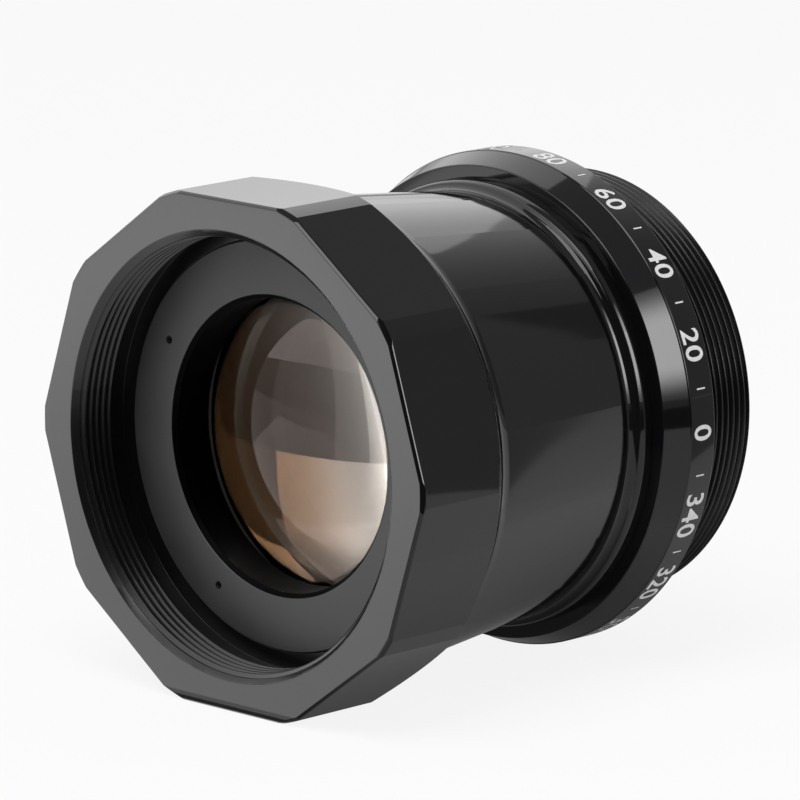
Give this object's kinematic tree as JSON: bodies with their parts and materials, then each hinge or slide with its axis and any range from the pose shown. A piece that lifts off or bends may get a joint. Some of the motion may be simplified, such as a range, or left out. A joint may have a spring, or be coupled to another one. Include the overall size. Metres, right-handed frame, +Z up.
{
  "type": "focal reducer",
  "caption": "Black anodised focal reducer for a telescope: a faceted grip round a threaded recess, coated lenses in a tapered barrel, and a rear flange with a threaded neck.",
  "frame": {"origin": "on the optical axis at the front face, which meets the telescope", "axes": "+Y along the optical axis from the telescope to the camera, +Z up and square to the flat that faces up, +X to the right when looking along the light"},
  "size_m": [0.1008, 0.0989, 0.097],
  "materials": {
    "gloss_black_anodised": "turned aluminium, anodised black, glossy",
    "matt_black_anodised": "blasted aluminium, anodised matt black",
    "coated_glass": "polished, with an anti-reflection coating",
    "seal_rubber": "matt"
  },
  "bodies": {
    "root": {"barrel": "gloss_black_anodised", "rear_adapter": "gloss_black_anodised", "front_retaining_ring": "matt_black_anodised", "rear_retaining_ring": "matt_black_anodised", "front_spacer": "matt_black_anodised", "rear_spacer": "matt_black_anodised", "front_lens": "coated_glass", "doublet_crown": "coated_glass", "doublet_flint": "coated_glass", "fourth_lens": "coated_glass", "rear_lens": "coated_glass", "front_o_ring": "seal_rubber", "rear_o_ring": "seal_rubber"}
  },
  "joints": []
}
